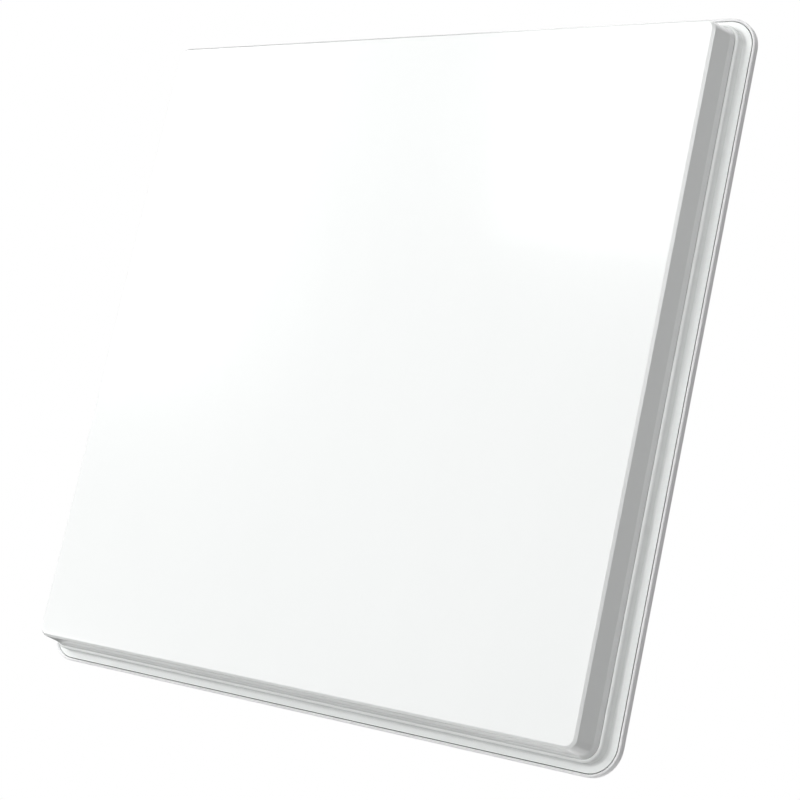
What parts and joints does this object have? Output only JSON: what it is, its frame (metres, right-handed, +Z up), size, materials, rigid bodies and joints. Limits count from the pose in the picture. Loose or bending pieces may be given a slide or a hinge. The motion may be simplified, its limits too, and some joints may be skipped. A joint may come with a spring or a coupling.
{
  "type": "security gate antenna panel",
  "caption": "Flat square antenna and reader panel of an overhead shop security gate, with chamfered white cover, stepped rim, flanged tray and quick-release wall plate.",
  "frame": {"origin": "centre of the wall plate's fixing pattern, on the panel's flat back plane", "axes": "+Y out of the back towards the wall or ceiling, front face looks along -Y, +Z up, +X to the right seen from the front"},
  "size_m": [0.595, 0.043, 0.595],
  "materials": {
    "cover_white": "gloss moulded ABS",
    "frame_white": "gloss moulded ABS",
    "seal_grey": "matt silicone",
    "tray_paint": "satin powder coat over aluminium",
    "zinc_steel": "zinc plated",
    "bar_steel": "brushed stainless",
    "spring_steel": "drawn wire",
    "plate_steel": "galvanised",
    "aluminium_sheet": "mill finish",
    "patch_metal": "satin",
    "nylon": "moulded nylon",
    "pcb_green": "solder mask",
    "gold_contact": "gold flash",
    "coax_jacket": "extruded jacket",
    "chip_black": "moulded epoxy",
    "capacitor_can": "sleeved can",
    "transformer_tape": "tape wrapped",
    "shield_tin": "tin plated",
    "pad_grey": "soft gap pad",
    "terminal_green": "moulded polyamide",
    "led_green": "clear epoxy",
    "light_pipe": "clear acrylic",
    "button_red": "moulded",
    "washer_brass": "plain",
    "label_foil": "satin foil, blank"
  },
  "bodies": {
    "panel": {"front_cover": "cover_white", "cover_gasket": "seal_grey", "carrier_frame": "frame_white", "edge_seal": "seal_grey", "back_tray": "tray_paint", "cover_screws": "zinc_steel", "tray_screws": "zinc_steel", "reflector_plate": "aluminium_sheet", "reflector_screws": "zinc_steel", "cover_props": "nylon", "patch_posts": "nylon", "patch_upper_left": "patch_metal", "patch_upper_right": "patch_metal", "patch_lower_left": "patch_metal", "patch_lower_right": "patch_metal", "coupler_upper_left": "pcb_green", "coupler_upper_right": "pcb_green", "coupler_lower_left": "pcb_green", "coupler_lower_right": "pcb_green", "coupler_screws": "zinc_steel", "coupler_jacks": "gold_contact", "feed_pins": "gold_contact", "coax_lead_upper_left": "coax_jacket", "coax_lead_upper_right": "coax_jacket", "coax_lead_lower_left": "coax_jacket", "coax_lead_lower_right": "coax_jacket", "lead_clips": "nylon", "reader_board": "pcb_green", "board_standoffs": "gold_contact", "board_screws": "zinc_steel", "board_jacks": "gold_contact", "board_chips": "chip_black", "board_capacitors": "capacitor_can", "power_transformer": "transformer_tape", "reader_shield": "shield_tin", "thermal_pad": "pad_grey", "ethernet_jack": "shield_tin", "io_header": "terminal_green", "io_plug": "terminal_green", "console_port": "shield_tin", "status_led": "led_green", "status_light_pipe": "light_pipe", "reset_switch": "chip_black", "ground_screw": "zinc_steel", "ground_washer": "washer_brass", "ground_nut": "washer_brass", "lanyard_bar": "bar_steel", "rating_plate": "label_foil", "wall_plate": "plate_steel", "hanging_studs": "bar_steel", "bar_straps": "zinc_steel", "strap_rivets": "zinc_steel", "bar_spring": "spring_steel", "spring_anchor": "zinc_steel"},
    "release": {"release_bar": "bar_steel"},
    "reset": {"reset_button": "button_red"}
  },
  "joints": [
    {"name": "release_slide", "type": "slide", "parent": "panel", "child": "release", "axis": [-1, 0, 0], "range_m": [0, 0.006], "stiffness_N_per_m": 300, "springref_m": -0.01},
    {"name": "reset_press", "type": "slide", "parent": "panel", "child": "reset", "axis": [0, 0, -1], "range_m": [0, 0.0008], "stiffness_N_per_m": 400, "springref_m": -0.0005}
  ]
}
